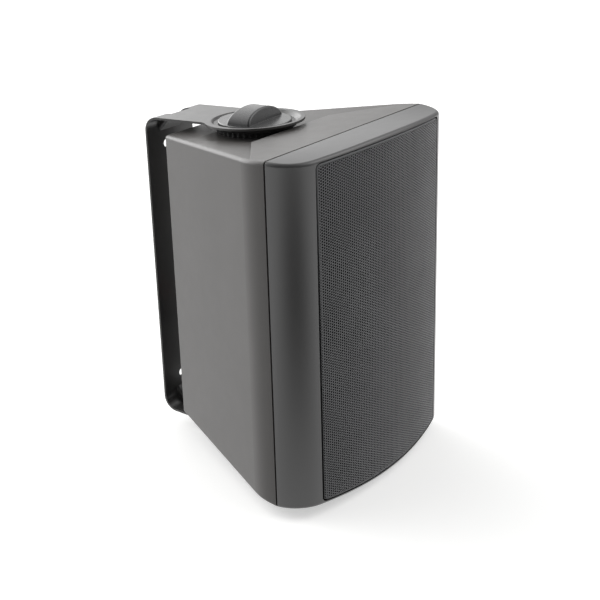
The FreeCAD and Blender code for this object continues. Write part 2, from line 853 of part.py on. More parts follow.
def make_terminal_cup():
    """Recessed cup with a middle rib and pin holes for the levers."""
    half_x, half_z = cup_half_width(), cup_recess_height / 2 + cup_wall
    depth = (cup_floor_y - cup_wall, rear_y)
    body = block((-half_x, half_x), depth, (cup_height - half_z, cup_height + half_z))
    flange = block((-cup_flange_width / 2, cup_flange_width / 2), (rear_y, rear_y + cup_flange_thickness),
                   (cup_height - cup_flange_height / 2, cup_height + cup_flange_height / 2))
    corners = [e for e in flange.Edges if is_along(e, Y_AXIS, cup_flange_thickness / 2)]
    cup = body.fuse(flange.makeFillet(cup_edge_radius, corners))
    pocket = pocket_half_width()
    half_recess = cup_recess_height / 2
    top = rear_y + cup_flange_thickness + 1
    for sign in (-1, 1):
        inner, outer = sorted((sign * lever_rib / 2, sign * pocket))
        height = (cup_height - half_recess, cup_height + half_recess)
        cup = cup.cut(block((inner, outer), (cup_floor_y, top), height))
        slot_x = lever_middle(sign)
        cup = cup.cut(block((slot_x - contact_width / 2, slot_x + contact_width / 2),
                            (cup_floor_y - cup_wall - 1, cup_floor_y + 1),
                            (cup_height - contact_sheet / 2, cup_height + contact_sheet / 2)))
    reach = pocket + lever_pin_length + lever_side_clearance
    pin_hole = lever_pin_radius + running_clearance
    cup = cup.cut(rod(pin_hole, V(-reach, lever_pin_y, lever_pin_z), X_AXIS, 2 * reach))
    for x, z in cup_screw_places():
        cup = cup.cut(rod(board_screw_radius + screw_clearance, V(x, rear_y - 1, z), Y_AXIS, margin))
    return cup.removeSplitter()


def make_terminal_lever(sign):
    """Sprung lever: knuckle with two pins, and a paddle that leans out for the finger."""
    x = lever_middle(sign)
    low_x = x - lever_width / 2
    lean = math.radians(lever_tilt)
    pin = V(low_x, lever_pin_y, lever_pin_z)

    def on_paddle(reach, side):
        along = V(0, math.sin(lean), -math.cos(lean))
        across = V(0, math.cos(lean), math.sin(lean))
        return pin + along * reach + across * side

    half = lever_thickness / 2
    tip = lever_tip_thickness / 2
    points = [on_paddle(0, -half), on_paddle(0, half), on_paddle(lever_length, tip),
              on_paddle(lever_length, -tip)]
    paddle = closed_face(points).extrude(V(lever_width, 0, 0))
    lever = rod(lever_knuckle_radius, pin, X_AXIS, lever_width).fuse(paddle)
    pin_start = V(low_x - lever_pin_length, lever_pin_y, lever_pin_z)
    lever = lever.fuse(rod(lever_pin_radius, pin_start, X_AXIS, lever_width + 2 * lever_pin_length))
    return lever.removeSplitter()


def make_terminal_contacts():
    """Two tinned tabs through the cup's floor, for wire inside and outside."""
    tabs = []
    for sign in (-1, 1):
        x = lever_middle(sign)
        tabs.append(block((x - contact_width / 2, x + contact_width / 2),
                          (cup_floor_y - cup_wall - contact_tab, cup_floor_y),
                          (cup_height - contact_sheet / 2, cup_height + contact_sheet / 2)))
    return Part.makeCompound(tabs)


def make_terminal_screws():
    """Four small screws through the flange into the shell, heads to the rear."""
    face = rear_y + cup_flange_thickness
    screws = []
    for x, z in cup_screw_places():
        screw = pan_screw(0, 0, 0, board_screw_length, board_screw_radius, board_screw_head)
        screw = screw.rotated(V(0, 0, 0), Z_AXIS, 180)
        screws.append(screw.translated(V(x, face, z)))
    return Part.makeCompound(screws)


def arm_profile(filled):
    """Side view of the upper half of the strip: plate, bend and an arm that rises a little to the front.

    Filled, it also takes in the room under the arm.
    """
    tilt = math.atan(arm_slope)
    big, small = bracket_bend_radius, bracket_bend_radius - bracket_sheet
    bend_y = big * math.sin(tilt) - big
    bend_z = arm_height - big * math.cos(tilt) - (bend_y - pivot_y) * arm_slope
    end_y = pivot_y - ring_radius - margin

    def on_bend(radius, angle):
        return V(0, radius * math.cos(angle) - big, bend_z + radius * math.sin(angle))

    def at_end(start):
        return V(0, end_y, start.z + (start.y - end_y) * arm_slope)

    full = math.pi / 2 - tilt
    foot = V(0, 0, 0)
    outer = [on_bend(big, angle) for angle in (0, full / 2, full)]
    inner = [on_bend(small, angle) for angle in (full, full / 2, 0)]
    back = [line(foot, outer[0]), arc(*outer), line(outer[2], at_end(outer[2]))]
    if filled:
        corner = V(0, end_y, 0)
        return back + [line(at_end(outer[2]), corner), line(corner, foot)]
    inner_foot = V(0, -bracket_sheet, 0)
    return back + [line(at_end(outer[2]), at_end(inner[0])), line(at_end(inner[0]), inner[0]), arc(*inner),
                   line(inner[2], inner_foot), line(inner_foot, foot)]


def bend_gusset():
    """Stiffening wedge pressed into the bend: the wedge on the inside and the dent behind it."""
    corner_y = -bracket_sheet
    corner_z = arm_height + (pivot_y - corner_y) * arm_slope - bracket_sheet
    half = gusset_width / 2
    bed = bracket_sheet / 2

    def wedge(leg, past, half_width):
        return prism_x([(corner_y + past, corner_z + past), (corner_y + past, corner_z - leg - past),
                        (corner_y - leg - past, corner_z + past)], -half_width, half_width)

    solid = wedge(gusset_leg, bed, half)
    ridges = [e for e in solid.Edges if abs(e.BoundBox.YLength - e.BoundBox.ZLength) < 0.01
              and e.BoundBox.XLength < 0.01]
    solid = solid.makeFillet(gusset_round, ridges)
    room = Part.Face(Part.Wire(arm_profile(True))).extrude(V(gusset_width, 0, 0)).translated(V(-half, 0, 0))
    dent = wedge(gusset_leg - bracket_sheet * math.sqrt(2), 2 * bracket_sheet, half - bracket_sheet)
    return solid.common(room), dent


def arm_plan():
    """Plan of the strip and its round end, as a tall solid."""
    half = bracket_width / 2
    tall = split_half_height + margin
    plan = block((-half, half), (pivot_y, 1), (0, tall))
    plan = plan.fuse(rod(ring_radius, V(0, pivot_y, 0), Z_AXIS, tall)).removeSplitter()
    neck_y = pivot_y + math.sqrt(ring_radius ** 2 - half ** 2)
    necks = [e for e in plan.Edges if is_along(e, Z_AXIS, tall / 2) and abs(e.CenterOfMass.y - neck_y) < 0.1]
    return plan.makeFillet(ring_neck_radius, necks)


def make_wall_bracket():
    """One folded strip: wall plate with two slots, two stiffened bends, two arms with a dished end."""
    strip = Part.Face(Part.Wire(arm_profile(False))).extrude(V(2 * ring_radius + margin, 0, 0))
    strip = strip.translated(V(-ring_radius - margin / 2, 0, 0))
    upper = strip.common(arm_plan())
    centre = V(0, pivot_y, 0)
    lift = dish_radius * arm_slope + bracket_sheet
    top, top_radius = arm_height + lift, dish_radius + lift
    floor_radius = dish_radius - dish_depth
    skin = bracket_sheet * math.sqrt(2)
    under_radius = floor_radius - bracket_sheet + skin
    hole = stud_radius + stud_hole_clearance
    void = turned([(0, dish_top), (floor_radius, dish_top), (top_radius, top), (0, top)], centre, Z_AXIS)
    dish = turned([(hole, dish_top), (floor_radius, dish_top), (top_radius, top), (top_radius + skin, top),
                   (under_radius, dish_under), (hole, dish_under)], centre, Z_AXIS)
    reach = top_radius + skin + 1
    rise = reach * arm_slope
    below = prism_x([(pivot_y + reach, 0), (pivot_y + reach, arm_height - rise),
                     (pivot_y - reach, arm_height + rise), (pivot_y - reach, 0)], -reach, reach)
    upper = upper.cut(void).fuse(dish.common(below)).removeSplitter()
    rims = [e for e in upper.Edges if e.BoundBox.XLength > 2 * (dish_radius - dish_edge_radius)
            and e.BoundBox.XLength < 2 * (dish_radius + dish_edge_radius)
            and abs(e.CenterOfMass.z - arm_height) < bracket_sheet / 2]
    upper = upper.makeFillet(dish_edge_radius, rims)
    gusset, dent = bend_gusset()
    upper = upper.fuse(gusset).cut(dent).removeSplitter()
    bracket = upper.fuse(mirrored(upper)).removeSplitter()
    straight = slot_length / 2 - slot_width / 2
    for sign in (-1, 1):
        z = sign * slot_height
        slot = block((-straight, straight), (-bracket_sheet - 1, 1), (z - slot_width / 2, z + slot_width / 2))
        for end in (-straight, straight):
            slot = slot.fuse(rod(slot_width / 2, V(end, -bracket_sheet - 1, z), Y_AXIS, bracket_sheet + 2))
        bracket = bracket.cut(slot)
    return bracket


def make_top_washer():
    """Toothed washer between the cabinet and the dish."""
    points = []
    for k in range(2 * tooth_count):
        radius = washer_radius if k % 2 else washer_radius - tooth_depth
        angle = math.pi * k / tooth_count
        points.append((radius * math.cos(angle), pivot_y + radius * math.sin(angle)))
    washer = prism_z(points, recess_floor, dish_under)
    return washer.cut(rod(washer_bore, V(0, pivot_y, recess_floor - 1), Z_AXIS, margin))


def make_top_insert():
    """Threaded brass insert in the shell's boss."""
    low = recess_floor - insert_length
    insert = rod(insert_radius, V(0, pivot_y, low), Z_AXIS, insert_length)
    return insert.cut(rod(stud_radius + running_clearance, V(0, pivot_y, low - 1), Z_AXIS, insert_length + 2))


def make_top_knob():
    """Thin round knob with an arched finger ridge across it."""
    disc_top = knob_base + knob_disc_height
    peak = knob_base + knob_height
    chamfer = knob_disc_chamfer
    edge = knob_radius - chamfer
    outline = [(0, knob_base), (edge, knob_base), (knob_radius, knob_base + chamfer),
               (knob_radius, disc_top - chamfer), (edge, disc_top), (0, disc_top)]
    disc = turned(outline, V(0, pivot_y, 0), Z_AXIS)
    base = disc_top - chamfer
    half_base, half_top, half_length = knob_ridge_base / 2, knob_ridge_top / 2, knob_ridge_length / 2
    near = pivot_y - half_base
    ends = [V(sign * half_length, near, base) for sign in (1, -1)]
    arch = Part.Ellipse(ends[0], V(0, near, peak), V(0, near, base))
    arch = Part.ArcOfEllipse(arch, 0, math.pi).toShape()
    ridge = Part.Face(Part.Wire([arch, line(ends[1], ends[0])])).extrude(V(0, knob_ridge_base, 0))
    taper = [(pivot_y - half_base, base), (pivot_y + half_base, base), (pivot_y + half_top, peak),
             (pivot_y - half_top, peak)]
    ridge = ridge.common(prism_x(taper, -knob_radius, knob_radius))
    rims = [e for e in ridge.Edges if e.CenterOfMass.z > base + 1]
    ridge = ridge.makeFillet(knob_edge_radius, rims)
    knob = disc.fuse(ridge).removeSplitter()
    socket = rod(stud_radius + running_clearance, V(0, pivot_y, knob_base - 1), Z_AXIS, knob_socket + 1)
    return knob.cut(socket).rotated(V(0, pivot_y, 0), Z_AXIS, knob_turn)


def make_top_knob_stud():
    """Threaded stud in the knob."""
    low = recess_floor - stud_reach
    return rod(stud_radius, V(0, pivot_y, low), Z_AXIS, knob_base + knob_socket - low)


def main():
    """Builds every node and writes one file for each."""
    nodes = {
        "wall_bracket": make_wall_bracket(),
        "rear_shell": make_rear_shell(),
        "front_frame": make_front_frame(),
        "cabinet_seal": make_cabinet_seal(),
        "cabinet_screws": make_cabinet_screws(),
        "grille": make_grille(),
        "woofer_gasket": make_woofer_gasket(),
        "woofer_basket": make_woofer_basket(),
        "woofer_surround": make_woofer_surround(),
        "woofer_spider": make_woofer_spider(),
        "woofer_cone": make_woofer_cone(),
        "woofer_dust_cap": make_woofer_dust_cap(),
        "woofer_voice_coil": make_woofer_voice_coil(),
        "woofer_top_plate": make_woofer_top_plate(),
        "woofer_magnet": make_woofer_magnet(),
        "woofer_pole_plate": make_woofer_pole_plate(),
        "woofer_screws": make_woofer_screws(),
        "tweeter_faceplate": make_tweeter_faceplate(),
        "tweeter_dome": make_tweeter_dome(),
        "tweeter_magnet": make_tweeter_magnet(),
        "tweeter_screws": make_tweeter_screws(),
        "crossover_board": make_crossover_board(),
        "crossover_capacitor": make_crossover_capacitor(),
        "crossover_coil": make_crossover_coil(),
        "crossover_resistor": make_crossover_resistor(),
        "crossover_screws": make_crossover_screws(),
        "terminal_cup": make_terminal_cup(),
        "terminal_lever_red": make_terminal_lever(1),
        "terminal_lever_black": make_terminal_lever(-1),
        "terminal_contacts": make_terminal_contacts(),
        "terminal_screws": make_terminal_screws(),
    }
    for name, make in (("washer", make_top_washer), ("insert", make_top_insert), ("knob", make_top_knob),
                       ("knob_stud", make_top_knob_stud)):
        upper = make()
        nodes["top_" + name] = upper
        nodes["bottom_" + name] = mirrored(upper)
    os.makedirs("parts", exist_ok=True)
    for name, shape in nodes.items():
        shape.exportStep("parts/" + name + ".step")
        print(name, len(shape.Solids), "solids", "valid" if shape.isValid() else "INVALID",
              round(shape.Volume / 1000, 2), "cm3")


main()
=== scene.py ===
import logging
import math
from dataclasses import dataclass, field
from enum import Enum

import bmesh
import bpy
from mathutils import Matrix, Vector


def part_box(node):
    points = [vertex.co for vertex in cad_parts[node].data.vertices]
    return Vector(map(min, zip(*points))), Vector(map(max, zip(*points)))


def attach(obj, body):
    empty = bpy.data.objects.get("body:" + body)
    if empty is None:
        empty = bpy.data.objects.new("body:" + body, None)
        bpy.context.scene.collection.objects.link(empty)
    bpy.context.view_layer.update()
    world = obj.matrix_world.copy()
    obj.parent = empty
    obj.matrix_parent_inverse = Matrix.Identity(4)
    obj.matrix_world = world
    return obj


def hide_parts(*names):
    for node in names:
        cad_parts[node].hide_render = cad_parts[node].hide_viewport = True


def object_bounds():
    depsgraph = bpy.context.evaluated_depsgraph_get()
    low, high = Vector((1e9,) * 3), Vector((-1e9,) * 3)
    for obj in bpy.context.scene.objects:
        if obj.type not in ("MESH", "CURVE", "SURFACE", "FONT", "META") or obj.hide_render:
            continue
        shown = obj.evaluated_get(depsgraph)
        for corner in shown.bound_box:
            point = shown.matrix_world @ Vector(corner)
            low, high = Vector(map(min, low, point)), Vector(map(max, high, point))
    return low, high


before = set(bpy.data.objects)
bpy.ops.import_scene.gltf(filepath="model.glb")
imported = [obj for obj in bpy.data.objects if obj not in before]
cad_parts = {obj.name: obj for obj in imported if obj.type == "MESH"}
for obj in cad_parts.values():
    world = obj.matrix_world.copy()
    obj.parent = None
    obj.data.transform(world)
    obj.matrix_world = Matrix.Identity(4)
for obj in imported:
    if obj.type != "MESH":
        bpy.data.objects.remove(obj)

# Looks of a two-way wall speaker in a U-bracket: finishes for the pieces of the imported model, a finely
# perforated grille, and the studio that it is shown in. Metres, +Z up, the listener is at -Y.

CAD_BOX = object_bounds()
MM = 0.001
LOG = logging.getLogger("wall_speaker")

Colour = tuple[float, float, float]
Point = tuple[float, float, float]
Socket = bpy.types.NodeSocket
Feed = Socket | float | int | tuple

# Shared by all finishes: the part of a noise that is used and how rough it is, the wave scale that gives one
# band for each relief size, how far wound wire wanders, how a noise is drawn out for rings and fibres, the
# samples of a softened edge, the gloss patches along one drift of colour, and the least roughness.
NOISE_MIDDLE = (0.3, 0.7)
NOISE_ROUGHNESS = 0.55
BANDS_PER_SIZE = 0.32
WIRE_WANDER = 0.6
RING_STRETCH = (1.0, 12.0, 1.0)
FIBRE_STRETCH = (1.0, 1.0, 0.35)
EDGE_SAMPLES = 6
GLOSS_PATCHES = 4
LEAST_ROUGHNESS = 0.02


class Body(str, Enum):
    """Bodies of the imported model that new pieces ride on."""

    CABINET = "cabinet"


class Surface(Enum):
    """Kinds of surface detail that a finish can carry on top of its colour drift."""

    GRAIN = "fine pebbled grain"
    PEEL = "soft waviness of a baked coat"
    FIBRE = "pressed fibres"
    WEAVE = "woven threads"
    WOUND = "turns of wire"
    TURNED = "fine rings from a lathe"


class NodeBench:
    """Adds nodes to a tree and wires them, so that each finish reads as a short recipe."""

    def __init__(self, tree: bpy.types.NodeTree) -> None:
        """Keeps the tree that nodes are added to."""
        self.tree = tree

    def add(self, kind: str, inputs: dict[str | int, Feed] | None = None,
            **settings: object) -> bpy.types.Node:
        """Adds one node.

        Args:
            kind: The node's type name in Blender.
            inputs: Values or output sockets by input name or index.
            settings: Properties of the node itself.

        Returns:
            The new node.
        """
        node = self.tree.nodes.new(kind)
        for name, value in settings.items():
            setattr(node, name, value)
        for key, value in (inputs or {}).items():
            self.feed(node.inputs[key], value)
        return node

    def feed(self, socket: Socket, value: Feed) -> None:
        """Wires an output socket to an input, or sets the input's constant.

        Args:
            socket: The input.
            value: An output socket, or a constant.
        """
        if isinstance(value, Socket):
            self.tree.links.new(value, socket)
        else:
            socket.default_value = value

    def math(self, operation: str, *values: Feed) -> Socket:
        """Adds a Math node and returns its result."""
        return self.add("ShaderNodeMath", dict(enumerate(values)), operation=operation).outputs[0]

    def place(self) -> bpy.types.Node:
        """Splits the position of a point of the geometry into its three parts."""
        return self.add("ShaderNodeSeparateXYZ", {0: self.add("GeometryNodeInputPosition").outputs[0]})

    def move(self, mesh: Socket, there: Socket, selection: Socket | None = None) -> Socket:
        """Sets the position of all points, or of the selected ones.

        Args:
            mesh: The geometry.
            there: The new positions.
            selection: The points that move.

        Returns:
            The moved geometry.
        """
        inputs = {"Geometry": mesh, "Position": there}
        if selection:
            inputs["Selection"] = selection
        return self.add("GeometryNodeSetPosition", inputs).outputs[0]


@dataclass(frozen=True)
class Finish:
    """A surface finish: colour, gloss and the small relief that the real material shows."""

    name: str
    colour: Colour
    roughness: float = 0.5
    metallic: float = 0.0
    specular: float = 0.5
    surface: Surface = Surface.GRAIN
    relief_size: float = 0.45 * MM
    relief_depth: float = 0.02 * MM
    drift_size: float = 35 * MM
    drift_share: float = 0.12
    rough_share: float = 0.10
    edge_round: float = 0.0
    sheen: float = 0.0

    def material(self) -> bpy.types.Material:
        """Builds the material once and returns it from then on.

        Returns:
            The finish's material.
        """
        label = f"{self.name}_finish"
        known = bpy.data.materials.get(label)
        if known:
            return known
        made = bpy.data.materials.new(label)
        made.use_nodes = True
        made.node_tree.nodes.clear()
        made.diffuse_color = (*self.colour, 1.0)
        bench = NodeBench(made.node_tree)
        place = bench.add("ShaderNodeTexCoord").outputs["Object"]
        shader = bench.add("ShaderNodeBsdfPrincipled", {
            "Base Color": self._colour(bench, place), "Roughness": self._roughness(bench, place),
            "Metallic": self.metallic, "Specular IOR Level": self.specular,
            "Normal": self._normal(bench, place)})
        if self.sheen:
            shader.inputs["Sheen Weight"].default_value = self.sheen
        output = bench.add("ShaderNodeOutputMaterial")
        bench.feed(output.inputs["Surface"], shader.outputs[0])
        return made

    def _noise(self, bench: NodeBench, place: Socket, size: float, detail: float) -> Socket:
        """Noise over the surface.

        Args:
            bench: The material's nodes.
            place: The point on the surface.
            size: Size of a feature in metres.
            detail: How many finer layers it has.

        Returns:
            The noise, about 0 to 1.
        """
        node = bench.add("ShaderNodeTexNoise", {"Vector": place, "Scale": 1.0 / size, "Detail": detail,
                                                "Roughness": NOISE_ROUGHNESS})
        return node.outputs["Fac"]

    def _spread(self, bench: NodeBench, source: Socket, low: float, high: float) -> Socket:
        """Maps the middle of a noise onto a range.

        Args:
            bench: The material's nodes.
            source: The noise.
            low: The range's lower end.
            high: The range's upper end.

        Returns:
            The mapped value.
        """
        node = bench.add("ShaderNodeMapRange", {
            "Value": source, "From Min": NOISE_MIDDLE[0], "From Max": NOISE_MIDDLE[1], "To Min": low,
            "To Max": high})
        return node.outputs["Result"]

    def _bands(self, bench: NodeBench, place: Socket, axis: str, distortion: float = 0.0) -> Socket:
        """Even bands of the relief's size across an axis."""
        node = bench.add("ShaderNodeTexWave", {
            "Vector": place, "Scale": BANDS_PER_SIZE / self.relief_size, "Distortion": distortion},
            wave_type="BANDS", bands_direction=axis)
        return node.outputs["Fac"]

    def _stretched(self, bench: NodeBench, place: Socket, stretch: Point, detail: float) -> Socket:
        """Noise of the relief's size, drawn out along an axis."""
        drawn = bench.add("ShaderNodeMapping", {"Vector": place, "Scale": stretch})
        return self._noise(bench, drawn.outputs["Vector"], self.relief_size, detail)

    def _colour(self, bench: NodeBench, place: Socket) -> Socket:
        """Slow drift between a darker and a lighter tone.

        Args:
            bench: The material's nodes.
            place: The point on the surface.

        Returns:
            The colour.
        """
        drift = self._noise(bench, place, self.drift_size, detail=4.0)
        share = self._spread(bench, drift, 0.0, 1.0)
        dark = tuple(c * (1 - self.drift_share) for c in self.colour)
        light = tuple(min(c * (1 + self.drift_share), 1.0) for c in self.colour)
        ramp = bench.add("ShaderNodeValToRGB", {"Fac": share})
        ramp.color_ramp.elements[0].color = (*dark, 1.0)
        ramp.color_ramp.elements[1].color = (*light, 1.0)
        return ramp.outputs["Color"]

    def _roughness(self, bench: NodeBench, place: Socket) -> Socket:
        """Gloss that changes a little over the surface.

        Args:
            bench: The material's nodes.
            place: The point on the surface.

        Returns:
            The roughness.
        """
        patches = self._noise(bench, place, self.drift_size / GLOSS_PATCHES, detail=3.0)
        low = max(self.roughness * (1 - self.rough_share), LEAST_ROUGHNESS)
        return self._spread(bench, patches, low, min(self.roughness * (1 + self.rough_share), 1.0))

    def _relief(self, bench: NodeBench, place: Socket) -> Socket:
        """Small relief, by the kind of surface.

        Args:
            bench: The material's nodes.
            place: The point on the surface.

        Returns:
            The relief's height, about 0 to 1.
        """
        if self.surface is Surface.WOUND:
            return self._bands(bench, place, "Y", distortion=WIRE_WANDER)
        if self.surface is Surface.TURNED:
            return self._stretched(bench, place, RING_STRETCH, detail=2.0)
        if self.surface is Surface.WEAVE:
            return bench.math("MULTIPLY", *(self._bands(bench, place, axis) for axis in "XZ"))
        if self.surface is Surface.FIBRE:
            return self._stretched(bench, place, FIBRE_STRETCH, detail=6.0)
        detail = 1.0 if self.surface is Surface.PEEL else 3.0
        return self._noise(bench, place, self.relief_size, detail)

    def _normal(self, bench: NodeBench, place: Socket) -> Socket:
        """Relief as a bump, over edges that are softened where the finish asks for it.

        Args:
            bench: The material's nodes.
            place: The point on the surface.

        Returns:
            The shading normal.
        """
        bump = bench.add("ShaderNodeBump", {"Strength": 1.0, "Distance": self.relief_depth,
                                            "Height": self._relief(bench, place)})
        if self.edge_round:
            soft = bench.add("ShaderNodeBevel", {"Radius": self.edge_round}, samples=EDGE_SAMPLES)
            bench.feed(bump.inputs["Normal"], soft.outputs["Normal"])
        return bump.outputs["Normal"]


CABINET_PLASTIC = Finish(
    "cabinet_plastic", (0.0925, 0.0880, 0.0845), roughness=0.37, specular=0.44, drift_share=0.05,
    rough_share=0.05, relief_size=0.5 * MM, relief_depth=0.02 * MM, edge_round=0.35 * MM)
# Painted shade: the front frame is a darker copy of the cabinet plastic, so the bezel looks shaded.
SHADED_FRAME_PLASTIC = Finish(
    "frame_plastic_painted_shade", (0.050, 0.0493, 0.0497), roughness=0.30, specular=0.85, drift_share=0.04,
    rough_share=0.03, relief_size=0.5 * MM, relief_depth=0.002 * MM, edge_round=0.35 * MM)
KNOB_PLASTIC = Finish(
    "knob_plastic", (0.026, 0.026, 0.0268), roughness=0.26, specular=0.75, relief_size=0.4 * MM,
    relief_depth=0.002 * MM, edge_round=0.3 * MM)
BRACKET_COAT = Finish(
    "bracket_coat", (0.056, 0.0550, 0.0540), roughness=0.32, surface=Surface.PEEL, drift_share=0.06,
    rough_share=0.05, relief_size=1.1 * MM, relief_depth=0.012 * MM, edge_round=0.3 * MM)
# Painted light: the grille's dark powder coat is lightened to stand in for light from the front.
LIT_GRILLE_COAT = Finish(
    "grille_coat_painted_light", (0.140, 0.141, 0.146), roughness=0.42, surface=Surface.PEEL, relief_size=0.6 * MM,
    relief_depth=0.012 * MM)
# Painted shade: a nearly black sheet behind the holes stands in for the dark inside of the cabinet.
GRILLE_SHADE_SHEET = Finish(
    "grille_shade_sheet", (0.0085, 0.0085, 0.009), roughness=0.95, specular=0.2, surface=Surface.WEAVE,
    relief_size=0.25 * MM, relief_depth=0.06 * MM)
SEAL_RUBBER = Finish("seal_rubber", (0.006, 0.006, 0.006), roughness=0.8, relief_depth=0.05 * MM)
WASHER_RUBBER = Finish(
    "washer_rubber", (0.009, 0.009, 0.009), roughness=0.66, relief_size=0.6 * MM, relief_depth=0.04 * MM)
SCREW_STEEL = Finish(
    "screw_steel", (0.20, 0.20, 0.21), roughness=0.36, metallic=1.0, surface=Surface.TURNED,
    relief_size=0.3 * MM, relief_depth=0.008 * MM)
STUD_STEEL = Finish(
    "stud_steel", (0.55, 0.55, 0.56), roughness=0.3, metallic=1.0, surface=Surface.TURNED,
    relief_size=0.4 * MM, relief_depth=0.02 * MM)
INSERT_BRASS = Finish(
    "insert_brass", (0.72, 0.50, 0.20), roughness=0.32, metallic=1.0, surface=Surface.TURNED,
    relief_size=0.4 * MM, relief_depth=0.02 * MM)
BASKET_STEEL = Finish(
    "basket_steel", (0.012, 0.012, 0.012), roughness=0.5, surface=Surface.PEEL, relief_size=0.9 * MM,
    relief_depth=0.02 * MM)
CONE_PAPER = Finish(
    "cone_paper", (0.013, 0.013, 0.013), roughness=0.85, surface=Surface.FIBRE, relief_size=1.2 * MM,
    relief_depth=0.08 * MM)
SURROUND_RUBBER = Finish("surround_rubber", (0.008, 0.008, 0.008), roughness=0.6, relief_depth=0.01 * MM)
SPIDER_CLOTH = Finish(
    "spider_cloth", (0.35, 0.24, 0.10), roughness=0.85, surface=Surface.WEAVE, relief_size=0.5 * MM,
    relief_depth=0.1 * MM)
COIL_FORMER = Finish(
    "coil_former", (0.50, 0.28, 0.10), roughness=0.45, surface=Surface.WOUND, relief_size=0.3 * MM,
    relief_depth=0.05 * MM)
MAGNET_FERRITE = Finish(
    "magnet_ferrite", (0.045, 0.045, 0.048), roughness=0.55, relief_size=0.3 * MM, relief_depth=0.03 * MM)
MOTOR_STEEL = Finish(
    "motor_steel", (0.52, 0.50, 0.44), roughness=0.34, metallic=1.0, surface=Surface.TURNED,
    relief_size=0.5 * MM, relief_depth=0.01 * MM)
TWEETER_PLASTIC = Finish("tweeter_plastic", (0.012, 0.012, 0.012), roughness=0.5)
DOME_SILK = Finish(
    "dome_silk", (0.010, 0.010, 0.012), roughness=0.7, surface=Surface.WEAVE, sheen=0.2,
    relief_size=0.35 * MM, relief_depth=0.03 * MM)
BOARD_LAMINATE = Finish(
    "board_laminate", (0.035, 0.16, 0.06), roughness=0.3, drift_size=8 * MM, drift_share=0.25,
    relief_size=1.5 * MM, relief_depth=0.01 * MM)
CAPACITOR_CASE = Finish(
    "capacitor_case", (0.42, 0.10, 0.03), roughness=0.28, surface=Surface.PEEL, relief_size=2 * MM,
    relief_depth=0.03 * MM)
CHOKE_COPPER = Finish(
    "choke_copper", (0.72, 0.30, 0.12), roughness=0.26, metallic=1.0, surface=Surface.WOUND,
    relief_size=1.0 * MM, relief_depth=0.25 * MM)
RESISTOR_CEMENT = Finish(
    "resistor_cement", (0.62, 0.60, 0.54), roughness=0.85, relief_size=0.4 * MM, relief_depth=0.08 * MM)
TERMINAL_PLASTIC = Finish("terminal_plastic", (0.018, 0.018, 0.018), roughness=0.46, relief_size=0.4 * MM)
LEVER_RED = Finish(
    "lever_red", (0.50, 0.018, 0.015), roughness=0.3, relief_size=0.8 * MM, relief_depth=0.008 * MM)
LEVER_BLACK = Finish(
    "lever_black", (0.014, 0.014, 0.014), roughness=0.3, relief_size=0.8 * MM, relief_depth=0.008 * MM)
CONTACT_TIN = Finish(
    "contact_tin", (0.70, 0.69, 0.66), roughness=0.25, metallic=1.0, surface=Surface.PEEL,
    relief_size=0.7 * MM, relief_depth=0.01 * MM)
CLAMP_FINISHES = {
    "washer": WASHER_RUBBER, "insert": INSERT_BRASS, "knob": KNOB_PLASTIC, "knob_stud": STUD_STEEL}


def dress_node(name: str, finish: Finish) -> None:
    """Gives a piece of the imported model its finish.

    Args:
        name: The piece's node name.
        finish: The finish that it takes.
    """
    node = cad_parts[name]
    node.data.materials.clear()
    node.data.materials.append(finish.material())
    LOG.info("dressed %s in %s", name, finish.name)


def link(name: str, mesh: bpy.types.Mesh) -> bpy.types.Object:
    """Puts a mesh into the scene as an object at the origin.

    Args:
        name: The object's name.
        mesh: Its mesh.

    Returns:
        The new object.
    """
    piece = bpy.data.objects.new(name, mesh)
    bpy.context.scene.collection.objects.link(piece)
    return piece


def keep_mesh(name: str, shape: bmesh.types.BMesh) -> bpy.types.Mesh:
    """Turns a worked shape into a mesh and frees the shape.

    Args:
        name: The mesh's name.
        shape: The worked shape.

    Returns:
        The new mesh.
    """
    data = bpy.data.meshes.new(name)
    shape.to_mesh(data)
    shape.free()
    return data


def bridge(shape: bmesh.types.BMesh, first: list[bmesh.types.BMVert],
           second: list[bmesh.types.BMVert]) -> None:
    """Joins two closed rings of as many points by faces.

    Args:
        shape: The shape that gets the faces.
        first: Points of one ring.
        second: Points of the next ring.
    """
    count = len(first)
    for k in range(count):
        after = (k + 1) % count
        shape.faces.new((first[k], first[after], second[after], second[k]))


def settle(piece: bpy.types.Object, body: Body, replaced: str) -> None:
    """Ties a finished piece to its body and the node that it stands for.

    Args:
        piece: The finished piece.
        body: The body that it rides on.
        replaced: The node that it stands for.
    """
    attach(piece, body.value)
    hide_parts(replaced)
    LOG.info("built %s with %d faces", piece.name, len(piece.data.polygons))


